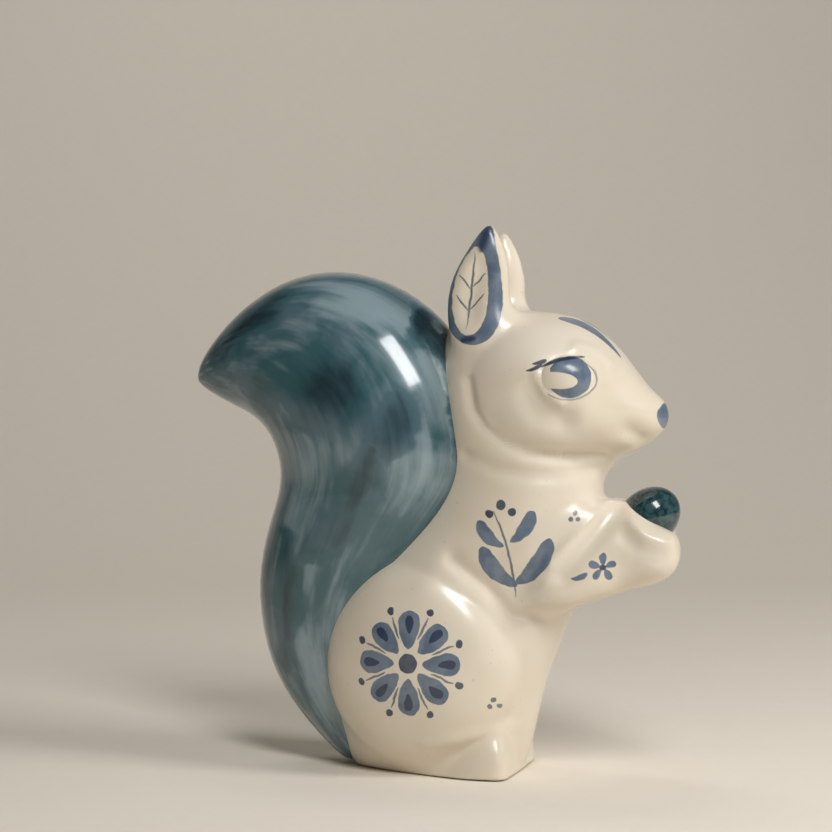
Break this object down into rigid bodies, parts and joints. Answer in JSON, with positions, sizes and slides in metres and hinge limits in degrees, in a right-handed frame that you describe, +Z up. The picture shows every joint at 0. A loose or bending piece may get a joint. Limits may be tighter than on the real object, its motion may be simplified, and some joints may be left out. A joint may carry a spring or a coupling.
{
  "type": "squirrel figurine",
  "caption": "Glazed ceramic squirrel figurine that sits upright with a tall curled tail and holds a nut in its paws; a free-standing ornament.",
  "frame": {"origin": "on the table, at the middle of the resting face under the figurine", "axes": "+X forward, the way the nose points; +Y to the figurine's left; +Z up"},
  "size_m": [0.1542, 0.058, 0.1658],
  "materials": {
    "cream_glaze": "glossy clear glaze over cream slip, with slate-blue brush painting",
    "tail_glaze": "glossy brushed blue-teal glaze, darker where it pools",
    "nut_glaze": "glossy dark teal glaze",
    "eye_glaze": "glossy clear glaze over a slate-blue painted eye",
    "slip": "joining clay in the seams",
    "bisque": "bare fired clay, unglazed"
  },
  "bodies": {
    "root": {"torso_shell": "cream_glaze", "base_plate": "bisque", "right_haunch": "cream_glaze", "left_haunch": "cream_glaze", "right_hind_foot": "cream_glaze", "left_hind_foot": "cream_glaze", "right_foreleg": "cream_glaze", "left_foreleg": "cream_glaze", "nut": "nut_glaze", "head_shell": "cream_glaze", "right_ear": "cream_glaze", "left_ear": "cream_glaze", "right_eye": "eye_glaze", "left_eye": "eye_glaze", "tail_shell": "tail_glaze", "neck_slip_ring": "slip", "tail_slip_collar": "slip", "right_shoulder_slip_collar": "slip", "left_shoulder_slip_collar": "slip"}
  },
  "joints": []
}
